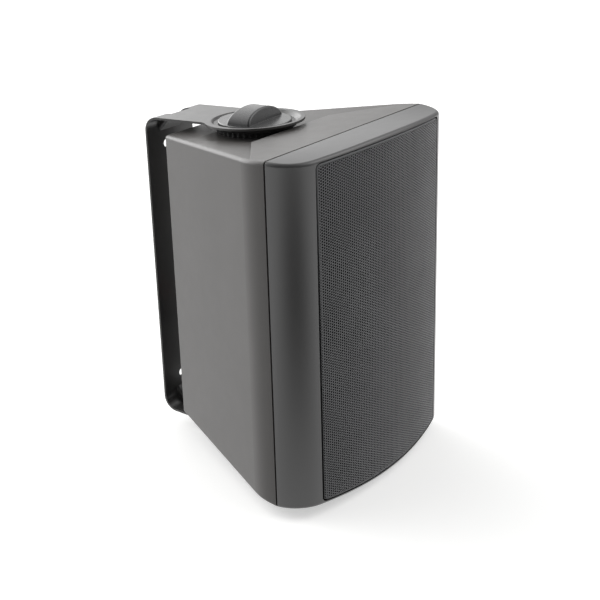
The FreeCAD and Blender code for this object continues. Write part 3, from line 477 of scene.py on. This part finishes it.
class NodeTool:
    """A Geometry Nodes tree with named inputs, run on an empty mesh and kept as a plain mesh."""

    SOCKETS = {float: "NodeSocketFloat", int: "NodeSocketInt", bpy.types.Material: "NodeSocketMaterial"}

    def __init__(self, name: str, sizes: dict[str, float | int | bpy.types.Material]) -> None:
        """Starts a tree with one named input for each size.

        Args:
            name: The tree's name.
            sizes: Values by input name.
        """
        self.tree = bpy.data.node_groups.new(name, "GeometryNodeTree")
        self.tree.is_modifier = True
        self.sizes = sizes
        self.bench = NodeBench(self.tree)
        self.tree.interface.new_socket("Geometry", in_out="OUTPUT", socket_type="NodeSocketGeometry")
        self.identifiers: dict[str, str] = {}
        for key, value in sizes.items():
            kind = self.SOCKETS[type(value)]
            socket = self.tree.interface.new_socket(key, in_out="INPUT", socket_type=kind)
            self.identifiers[key] = socket.identifier
        self.source = self.bench.add("NodeGroupInput")

    def size(self, key: str) -> Socket:
        """The tree's own socket for a named size."""
        return self.source.outputs[key]

    def close(self, geometry: Socket) -> None:
        """Ends the tree in real geometry with its material.

        Args:
            geometry: What the tree has made.
        """
        real = self.bench.add("GeometryNodeRealizeInstances", {0: geometry}).outputs[0]
        dressed = self.bench.add("GeometryNodeSetMaterial", {
            "Geometry": real, "Material": self.size("Material")})
        output = self.bench.add("NodeGroupOutput")
        self.bench.feed(output.inputs[0], dressed.outputs[0])

    def run(self, name: str, **changes: float) -> bpy.types.Object:
        """Runs the tree and keeps the result as a plain mesh.

        Args:
            name: The new piece's name.
            changes: Sizes that differ from the tree's own.

        Returns:
            The new piece.
        """
        host = link(name, bpy.data.meshes.new(name))
        modifier = host.modifiers.new("tool", "NODES")
        modifier.node_group = self.tree
        for key, value in {**self.sizes, **changes}.items():
            modifier[self.identifiers[key]] = value
        graph = bpy.context.evaluated_depsgraph_get()
        mesh = bpy.data.meshes.new_from_object(host.evaluated_get(graph))
        host.modifiers.clear()
        host.data = mesh
        mesh.name = name
        return host


@dataclass
class Grille:
    """Bowed steel grille: a perforated sheet in two bands, its folded rim, and a black sheet of painted shade
    behind.
    """

    half_width: float = 73.0 * MM
    half_height: float = 116.6 * MM
    arch_rise: float = 3.0 * MM
    corner_radius: float = 3.5 * MM
    least_corner: float = 0.3 * MM
    bow_radius: float = 291.0 * MM
    sheet: float = 0.3 * MM
    hole_pitch: float = 1.86 * MM
    column_step: float = 1.74 * MM
    hole_radius: float = 0.75 * MM
    weld: float = 0.02 * MM
    band_slack: float = 0.001 * MM
    land: float = 1.15 * MM
    fold_radius: float = 0.8 * MM
    flange: float = 1.5 * MM
    seat: float = 0.1 * MM
    shade_sheet_front: float = 0.42 * MM
    shade_sheet_back: float = 0.60 * MM
    shade_sheet_inset: float = 0.9 * MM
    top_steps: int = 48
    corner_steps: int = 8
    fold_steps: int = 4
    shade_sheet_steps: int = 32
    sharp_angle: float = math.radians(40)
    apex_y: float = field(init=False)
    back_y: float = field(init=False)

    def __post_init__(self) -> None:
        """Takes the sheet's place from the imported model."""
        low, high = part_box("grille")
        self.apex_y = low.y
        self.back_y = high.y

    def build(self) -> None:
        """Makes the perforated bands, the rim and the black sheet of painted shade."""
        tool = self._perforation()
        reach = self.half_height + self.arch_rise
        for name, low, high in (("grille_sheet_upper", 0.0, reach), ("grille_sheet_lower", -reach, 0.0)):
            band = tool.run(name, **{"Band low": low, "Band high": high})
            settle(band, Body.CABINET, "grille")
        settle(self._rim(), Body.CABINET, "grille")
        settle(self._shade_sheet(), Body.CABINET, "grille")

    def _perforation(self) -> NodeTool:
        """Tree that lays pierced cells on a staggered lattice, trims them to the outline and bows the sheet.

        Returns:
            The tree, ready to run on a band.
        """
        columns = 2 * math.floor(self.half_width / self.column_step) + 1
        rows = 2 * math.ceil((self.half_height + self.arch_rise) / self.hole_pitch) + 1
        tool = NodeTool("perforated_sheet", {
            "Columns": columns, "Rows": rows, "Column step": self.column_step, "Hole pitch": self.hole_pitch,
            "Hole radius": self.hole_radius, "Sheet": self.sheet, "Half width": self.half_width,
            "Half height": self.half_height, "Arch rise": self.arch_rise, "Corner radius": self.corner_radius,
            "Land": self.land, "Bow radius": self.bow_radius, "Apex": self.apex_y, "Band low": 0.0,
            "Band high": self.half_height, "Material": LIT_GRILLE_COAT.material()})
        bench = tool.bench
        cells = bench.add("GeometryNodeInstanceOnPoints", {
            "Points": self._lattice(tool), "Instance": self._cell(tool)})
        flat = bench.add("GeometryNodeRealizeInstances", {0: cells.outputs[0]}).outputs[0]
        welded = bench.add("GeometryNodeMergeByDistance", {"Geometry": flat, "Distance": self.weld})
        tool.close(self._bow(tool, welded.outputs[0]))
        return tool

    def _cell(self, tool: NodeTool) -> Socket:
        """One six-sided cell of the sheet with its hole: front land, wall of the hole and back land.

        Args:
            tool: The tree that the cell is made in.

        Returns:
            The cell.
        """
        bench = tool.bench
        circle = bench.add("GeometryNodeMeshCircle", {"Vertices": 6, "Radius": 1.0}, fill_type="NGON")
        # Corners lie two thirds of a column step to each side, and in two pairs half a pitch up and down.
        wide = bench.math("MULTIPLY", tool.size("Column step"), 2.0 / 3.0)
        tall = bench.math("MULTIPLY", tool.size("Hole pitch"), 1.0 / math.sqrt(3.0))
        scale = bench.add("ShaderNodeCombineXYZ", {0: wide, 1: tall, 2: 1.0}).outputs[0]
        upright = bench.add("GeometryNodeTransform", {
            "Geometry": circle.outputs[0], "Scale": scale, "Rotation": (math.pi / 2, 0.0, 0.0)}).outputs[0]
        front, top = self._inset(bench, upright, None)
        front = self._to_circle(bench, front, top, tool.size("Hole radius"))
        depth = bench.add("ShaderNodeCombineXYZ", {1: tool.size("Sheet")}).outputs[0]
        wall, floor = self._inset(bench, front, top, depth)
        back, opening = self._inset(bench, wall, floor)
        back = self._to_hexagon(bench, back, opening, wide, tall)
        pierced = bench.add("GeometryNodeDeleteGeometry", {
            "Geometry": back, "Selection": opening}, domain="FACE")
        return pierced.outputs[0]

    def _inset(self, bench: NodeBench, mesh: Socket, selection: Socket | None,
               offset: Socket | None = None) -> tuple[Socket, Socket]:
        """Extrudes faces by an offset, or by nothing so that the new face can be reshaped.

        Args:
            bench: The tree's nodes.
            mesh: The mesh.
            selection: The faces, or all of them.
            offset: How far they move.

        Returns:
            The mesh and the selection of the new face.
        """
        inputs = {"Mesh": mesh, "Offset Scale": 1.0 if offset else 0.0}
        if selection:
            inputs["Selection"] = selection
        if offset:
            inputs["Offset"] = offset
        node = bench.add("GeometryNodeExtrudeMesh", inputs, mode="FACES")
        return node.outputs["Mesh"], node.outputs["Top"]

    def _to_circle(self, bench: NodeBench, mesh: Socket, selection: Socket, radius: Socket) -> Socket:
        """Draws the selected points in to the hole's radius.

        Args:
            bench: The tree's nodes.
            mesh: The mesh.
            selection: The points.
            radius: The hole's radius.

        Returns:
            The reshaped mesh.
        """
        here = bench.add("GeometryNodeInputPosition").outputs[0]
        unit = bench.add("ShaderNodeVectorMath", {0: here}, operation="NORMALIZE").outputs[0]
        there = bench.add("ShaderNodeVectorMath", {0: unit, "Scale": radius}, operation="SCALE").outputs[0]
        return bench.move(mesh, there, selection)

    def _to_hexagon(self, bench: NodeBench, mesh: Socket, selection: Socket, wide: Socket,
                    tall: Socket) -> Socket:
        """Draws the selected points, which lie on the hole's edge, out to the cell's edge.

        Args:
            bench: The tree's nodes.
            mesh: The mesh.
            selection: The points.
            wide: The cell's reach across.
            tall: The cell's reach upwards.

        Returns:
            The reshaped mesh.
        """
        here = bench.place()
        angle = bench.math("ARCTAN2", bench.math("MULTIPLY", here.outputs[2], wide),
                           bench.math("MULTIPLY", here.outputs[0], tall))
        sixth = math.pi / 3
        corner = bench.math("MULTIPLY", bench.math("ROUND", bench.math("DIVIDE", angle, sixth)), sixth)
        x = bench.math("MULTIPLY", bench.math("COSINE", corner), wide)
        z = bench.math("MULTIPLY", bench.math("SINE", corner), tall)
        there = bench.add("ShaderNodeCombineXYZ", {0: x, 1: here.outputs[1], 2: z}).outputs[0]
        return bench.move(mesh, there, selection)

    def _lattice(self, tool: NodeTool) -> Socket:
        """Staggered points inside the outline and inside the band.

        Args:
            tool: The tree that the points are made in.

        Returns:
            The points.
        """
        bench = tool.bench
        step, pitch = tool.size("Column step"), tool.size("Hole pitch")
        wide = bench.math("MULTIPLY", bench.math("SUBTRACT", tool.size("Columns"), 1.0), step)
        tall = bench.math("MULTIPLY", bench.math("SUBTRACT", tool.size("Rows"), 1.0), pitch)
        grid = bench.add("GeometryNodeMeshGrid", {
            "Size X": wide, "Size Y": tall, "Vertices X": tool.size("Columns"),
            "Vertices Y": tool.size("Rows")}).outputs[0]
        here = bench.place()
        column = bench.math("ROUND", bench.math("DIVIDE", here.outputs[0], step))
        odd = bench.math("PINGPONG", column, 1.0)
        lift = bench.math("MULTIPLY", bench.math("MULTIPLY", odd, 0.5), pitch)
        up = bench.math("ADD", here.outputs[1], lift)
        there = bench.add("ShaderNodeCombineXYZ", {0: here.outputs[0], 2: up}).outputs[0]
        placed = bench.move(grid, there)
        kept = bench.add("GeometryNodeDeleteGeometry", {
            "Geometry": placed, "Selection": self._outside(tool)}, domain="POINT")
        return kept.outputs[0]

    def _outside(self, tool: NodeTool) -> Socket:
        """Finds lattice points off the pierced field or off the band.

        Args:
            tool: The tree that the points are made in.

        Returns:
            True for a point that goes.
        """
        bench = tool.bench
        here = bench.place()
        across = bench.math("ABSOLUTE", here.outputs[0])
        up = bench.math("ABSOLUTE", here.outputs[2])
        share = bench.math("DIVIDE", across, tool.size("Half width"))
        fall = bench.math("SUBTRACT", 1.0, bench.math("MULTIPLY", share, share))
        rise = bench.math("MULTIPLY", fall, tool.size("Arch rise"))
        top = bench.math("ADD", tool.size("Half height"), rise)
        radius = tool.size("Corner radius")
        dx = bench.math("SUBTRACT", across, bench.math("SUBTRACT", tool.size("Half width"), radius))
        dz = bench.math("SUBTRACT", up, bench.math("SUBTRACT", top, radius))
        far_x = bench.math("MAXIMUM", dx, 0.0)
        far_z = bench.math("MAXIMUM", dz, 0.0)
        corner = bench.math("SQRT", bench.math("ADD", bench.math("MULTIPLY", far_x, far_x),
                                               bench.math("MULTIPLY", far_z, far_z)))
        inner = bench.math("MINIMUM", bench.math("MAXIMUM", dx, dz), 0.0)
        distance = bench.math("SUBTRACT", bench.math("ADD", corner, inner), radius)
        off_field = bench.math("GREATER_THAN", bench.math("ADD", distance, tool.size("Land")), 0.0)
        below = bench.math("LESS_THAN", here.outputs[2], tool.size("Band low"))
        ceiling = bench.math("SUBTRACT", tool.size("Band high"), self.band_slack)
        above = bench.math("GREATER_THAN", here.outputs[2], ceiling)
        return bench.math("ADD", off_field, bench.math("ADD", below, above))

    def _bow(self, tool: NodeTool, mesh: Socket) -> Socket:
        """Bends the flat sheet about the upright axis of its bow.

        Args:
            tool: The tree that the sheet is made in.
            mesh: The flat sheet.

        Returns:
            The bowed sheet.
        """
        bench = tool.bench
        here = bench.place()
        bow = tool.size("Bow radius")
        angle = bench.math("ARCSINE", bench.math("DIVIDE", here.outputs[0], bow))
        radius = bench.math("SUBTRACT", bow, here.outputs[1])
        x = bench.math("MULTIPLY", radius, bench.math("SINE", angle))
        centre = bench.math("ADD", tool.size("Apex"), bow)
        y = bench.math("SUBTRACT", centre, bench.math("MULTIPLY", radius, bench.math("COSINE", angle)))
        there = bench.add("ShaderNodeCombineXYZ", {0: x, 1: y, 2: here.outputs[2]}).outputs[0]
        return bench.move(mesh, there)

    def _front(self, x: float) -> float:
        """Station of the sheet's front at a distance from the middle."""
        return self.apex_y + self.bow_radius - math.sqrt(self.bow_radius ** 2 - x ** 2)

    def _top(self, x: float, inset: float) -> float:
        """Height of the arched top edge, drawn in by an inset, at a distance from the middle."""
        return self.half_height - inset + self.arch_rise * (1.0 - (x / self.half_width) ** 2)

    def _outline(self, inset: float) -> list[tuple[float, float]]:
        """Outline of the grille in front view.

        Args:
            inset: How far it is drawn in.

        Returns:
            Points (x, z) from the upper right corner round.
        """
        radius = max(self.corner_radius - inset, self.least_corner)
        run = self.half_width - inset - radius
        stations = (run - 2 * run * k / self.top_steps for k in range(self.top_steps + 1))
        upper = [(x, self._top(x, inset)) for x in stations]
        low = self._top(run, inset) - radius
        turns = (math.pi / 2 * k / self.corner_steps for k in range(1, self.corner_steps + 1))
        left = [(-run - radius * math.sin(a), low + radius * math.cos(a)) for a in turns]
        lower = [(-x, -z) for x, z in upper]
        right = [(-x, -z) for x, z in left]
        return upper + left + lower + right

    def _rim(self) -> bpy.types.Object:
        """Folded rim: a round fold from the sheet's edge back to the baffle, and a flange behind the holes.

        Returns:
            The rim.
        """
        fold = self.fold_radius
        front, back = self.sheet - self.seat, self.sheet + self.seat
        turns = (math.pi / 2 * k / self.fold_steps for k in range(self.fold_steps + 1))
        profile = [(self.flange, front), (fold, front)]
        profile += [(fold * (1 - math.sin(a)), fold * (1 - math.cos(a))) for a in turns]
        profile += [(0.0, None), (self.sheet, None), (self.sheet, back), (self.flange, back)]
        shape = bmesh.new()
        rings = []
        for inset, depth in profile:
            ring = []
            for x, z in self._outline(inset):
                y = self.back_y if depth is None else self._front(x) + depth
                ring.append(shape.verts.new((x, y, z)))
            rings.append(ring)
        for first, second in zip(rings, rings[1:] + rings[:1]):
            bridge(shape, first, second)
        bmesh.ops.recalc_face_normals(shape, faces=shape.faces)
        data = keep_mesh("grille_rim", shape)
        data.materials.append(LIT_GRILLE_COAT.material())
        data.shade_smooth()
        data.set_sharp_from_angle(angle=self.sharp_angle)
        return link("grille_rim", data)

    def _shade_sheet(self) -> bpy.types.Object:
        """Thin black sheet of painted shade behind the holes, bowed like the sheet, with a woven bump.

        Returns:
            The black sheet.
        """
        half = self.half_width - self.shade_sheet_inset
        shape = bmesh.new()
        rings = []
        for k in range(self.shade_sheet_steps + 1):
            x = half * (2.0 * k / self.shade_sheet_steps - 1.0)
            top = self._top(x, self.shade_sheet_inset)
            if k in (0, self.shade_sheet_steps):
                top -= self.corner_radius / 2
            front, back = self._front(x) + self.shade_sheet_front, self._front(x) + self.shade_sheet_back
            corners = ((front, -top), (front, top), (back, top), (back, -top))
            rings.append([shape.verts.new((x, y, z)) for y, z in corners])
        for first, second in zip(rings, rings[1:]):
            bridge(shape, first, second)
        for ring in (rings[0], rings[-1]):
            shape.faces.new(ring)
        bmesh.ops.recalc_face_normals(shape, faces=shape.faces)
        data = keep_mesh("grille_shade_sheet", shape)
        data.materials.append(GRILLE_SHADE_SHEET.material())
        return link("grille_shade_sheet", data)


@dataclass
class DressedGroup:
    """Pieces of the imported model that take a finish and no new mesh."""

    finishes: dict[str, Finish]

    def dress(self) -> None:
        """Gives each piece its finish."""
        for name, finish in self.finishes.items():
            dress_node(name, finish)


@dataclass
class Cabinet(DressedGroup):
    """Moulded rear shell and front frame with the seal between them; the frame takes a darker copy of the
    shell's plastic as painted shade.
    """

    finishes: dict[str, Finish] = field(default_factory=lambda: {
        "rear_shell": CABINET_PLASTIC, "front_frame": SHADED_FRAME_PLASTIC, "cabinet_seal": SEAL_RUBBER,
        "cabinet_screws": SCREW_STEEL})


@dataclass
class Bracket(DressedGroup):
    """Folded wall bracket and the clamps that hold the cabinet in it."""

    finishes: dict[str, Finish] = field(default_factory=lambda: {
        "wall_bracket": BRACKET_COAT,
        **{f"{end}_{piece}": finish
           for end in ("top", "bottom") for piece, finish in CLAMP_FINISHES.items()}})


@dataclass
class Drivers(DressedGroup):
    """Woofer and tweeter behind the grille."""

    finishes: dict[str, Finish] = field(default_factory=lambda: {
        "woofer_gasket": SEAL_RUBBER, "woofer_basket": BASKET_STEEL, "woofer_surround": SURROUND_RUBBER,
        "woofer_spider": SPIDER_CLOTH, "woofer_cone": CONE_PAPER, "woofer_dust_cap": CONE_PAPER,
        "woofer_voice_coil": COIL_FORMER, "woofer_top_plate": MOTOR_STEEL, "woofer_magnet": MAGNET_FERRITE,
        "woofer_pole_plate": MOTOR_STEEL, "woofer_screws": SCREW_STEEL, "tweeter_faceplate": TWEETER_PLASTIC,
        "tweeter_dome": DOME_SILK, "tweeter_magnet": MAGNET_FERRITE, "tweeter_screws": SCREW_STEEL})


@dataclass
class Electrics(DressedGroup):
    """Crossover board and rear terminals."""

    finishes: dict[str, Finish] = field(default_factory=lambda: {
        "crossover_board": BOARD_LAMINATE, "crossover_capacitor": CAPACITOR_CASE,
        "crossover_coil": CHOKE_COPPER, "crossover_resistor": RESISTOR_CEMENT,
        "crossover_screws": SCREW_STEEL, "terminal_cup": TERMINAL_PLASTIC, "terminal_lever_red": LEVER_RED,
        "terminal_lever_black": LEVER_BLACK, "terminal_contacts": CONTACT_TIN,
        "terminal_screws": SCREW_STEEL})


@dataclass(frozen=True)
class Glow:
    """One soft light of the studio: brightest in its direction and fading round it."""

    name: str
    direction: Point
    strength: float
    focus: float

    def level(self, bench: NodeBench, outward: Socket) -> Socket:
        """Light that comes from a direction.

        Args:
            bench: The world's nodes.
            outward: The direction.

        Returns:
            The light's strength there.
        """
        middle = tuple(Vector(self.direction).normalized())
        dot = bench.add("ShaderNodeVectorMath", {0: outward, 1: middle}, operation="DOT_PRODUCT")
        fade = bench.math("POWER", bench.math("MAXIMUM", dot.outputs["Value"], 0.0), self.focus)
        return bench.math("MULTIPLY", fade, self.strength)


@dataclass
class Studio:
    """White sweep, soft light and the camera at the photograph's angle."""

    azimuth: float = -53.61
    elevation: float = 21.44
    roll: float = -1.61
    distance: float = 855.8 * MM
    aim: Point = (-21.0 * MM, -131.2 * MM, 0.5 * MM)
    lens: float = 73.87
    floor_reach: float = 30.0
    floor_colour: Colour = (0.82, 0.82, 0.81)
    floor_bounce: Colour = (0.12, 0.12, 0.118)
    floor_lift: float = 0.43
    near_glow: float = 0.01
    far_glow: float = 1.18
    dim_place: tuple[float, float] = (-0.48, -0.58)
    dim_core: float = 0.1
    dim_reach: float = 0.62
    ambient: float = 0.24
    glows: tuple[Glow, ...] = (
        Glow("behind", (0.0, 0.95, 0.25), 4.9, 4.0),
        Glow("behind_right", (0.74, 0.56, 0.37), 0.30, 4.0),
        Glow("front_right", (0.57, -0.50, 0.65), 2.3, 8.0),
    )

    def build(self) -> None:
        """Makes floor, light and camera."""
        self._floor()
        self._world()
        self._camera()
        bpy.context.scene.view_settings.view_transform = "Standard"

    def _floor(self) -> None:
        """Pale floor under the lowest point, white to the eye where no shadow falls."""
        shape = bmesh.new()
        bmesh.ops.create_grid(shape, x_segments=1, y_segments=1, size=self.floor_reach)
        data = keep_mesh("floor", shape)
        data.transform(Matrix.Translation((0.0, 0.0, CAD_BOX[0][2])))
        floor = link("floor", data)
        made = bpy.data.materials.new("floor_white")
        made.use_nodes = True
        made.node_tree.nodes.clear()
        bench = NodeBench(made.node_tree)
        eye = bench.add("ShaderNodeLightPath").outputs["Is Camera Ray"]
        colour = bench.add("ShaderNodeMixRGB", {"Fac": eye, "Color1": (*self.floor_bounce, 1.0),
                                                "Color2": (*self.floor_colour, 1.0)}).outputs[0]
        matt = bench.add("ShaderNodeBsdfDiffuse", {"Color": colour}).outputs[0]
        glow = bench.add("ShaderNodeEmission", {"Strength": self._floor_glow(bench)}).outputs[0]
        both = bench.add("ShaderNodeAddShader", {0: matt, 1: glow}).outputs[0]
        output = bench.add("ShaderNodeOutputMaterial")
        bench.feed(output.inputs["Surface"], both)
        data.materials.append(made)

    def _floor_glow(self, bench: NodeBench) -> Socket:
        """White for rays from the eye; in gloss and glass it is white too, but dim round one place in front.

        Args:
            bench: The floor's nodes.

        Returns:
            The glow's strength.
        """
        path = bench.add("ShaderNodeLightPath")
        place = bench.add("ShaderNodeTexCoord").outputs["Object"]
        dim = (*self.dim_place, CAD_BOX[0][2])
        away = bench.add("ShaderNodeVectorMath", {0: place, 1: dim}, operation="DISTANCE")
        rise = bench.add("ShaderNodeMapRange", {
            "Value": away.outputs["Value"], "From Min": self.dim_core, "From Max": self.dim_reach,
            "To Min": self.near_glow, "To Max": self.far_glow}, interpolation_type="SMOOTHSTEP")
        gloss = bench.math("MAXIMUM", path.outputs["Is Glossy Ray"], path.outputs["Is Transmission Ray"])
        mirrored = bench.math("MULTIPLY", gloss, rise.outputs["Result"])
        return bench.math("MULTIPLY_ADD", path.outputs["Is Camera Ray"], self.floor_lift, mirrored)

    def _world(self) -> None:
        """Soft light from each glow over an even level, white to the eye."""
        world = bpy.data.worlds.new("studio")
        bpy.context.scene.world = world
        world.use_nodes = True
        world.node_tree.nodes.clear()
        bench = NodeBench(world.node_tree)
        outward = bench.add("ShaderNodeTexCoord").outputs["Generated"]
        level = self.ambient
        for glow in self.glows:
            level = bench.math("ADD", glow.level(bench, outward), level)
            LOG.info("lit from %s", glow.name)
        eye = bench.add("ShaderNodeLightPath").outputs["Is Camera Ray"]
        seen = bench.add("ShaderNodeMix", {"Factor": eye, "A": level, "B": 1.0}, data_type="FLOAT")
        sky = bench.add("ShaderNodeBackground", {"Color": (1.0, 1.0, 1.0, 1.0),
                                                 "Strength": seen.outputs["Result"]}).outputs[0]
        output = bench.add("ShaderNodeOutputWorld")
        bench.feed(output.inputs["Surface"], sky)

    def _camera(self) -> None:
        """Camera at the photograph's angle and distance."""
        azimuth, elevation, roll = (math.radians(a) for a in (self.azimuth, self.elevation, self.roll))
        back = Vector((math.sin(azimuth) * math.cos(elevation), -math.cos(azimuth) * math.cos(elevation),
                       math.sin(elevation)))
        right = Vector((math.cos(azimuth), math.sin(azimuth), 0.0))
        up = back.cross(right)
        turned_right = math.cos(roll) * right + math.sin(roll) * up
        turned_up = -math.sin(roll) * right + math.cos(roll) * up
        data = bpy.data.cameras.new("photo_camera")
        data.lens = self.lens
        camera = bpy.data.objects.new("photo_camera", data)
        place = Vector(self.aim) + back * self.distance
        columns = Matrix((turned_right, turned_up, back)).transposed().to_4x4()
        camera.matrix_world = Matrix.Translation(place) @ columns
        bpy.context.scene.collection.objects.link(camera)
        bpy.context.scene.camera = camera


def main() -> None:
    """Builds the pieces in order and reports each."""
    logging.basicConfig(level=logging.INFO, format="%(name)s: %(message)s")
    Cabinet().dress()
    Grille().build()
    Bracket().dress()
    Drivers().dress()
    Electrics().dress()
    Studio().build()


if __name__ == "__main__":
    main()
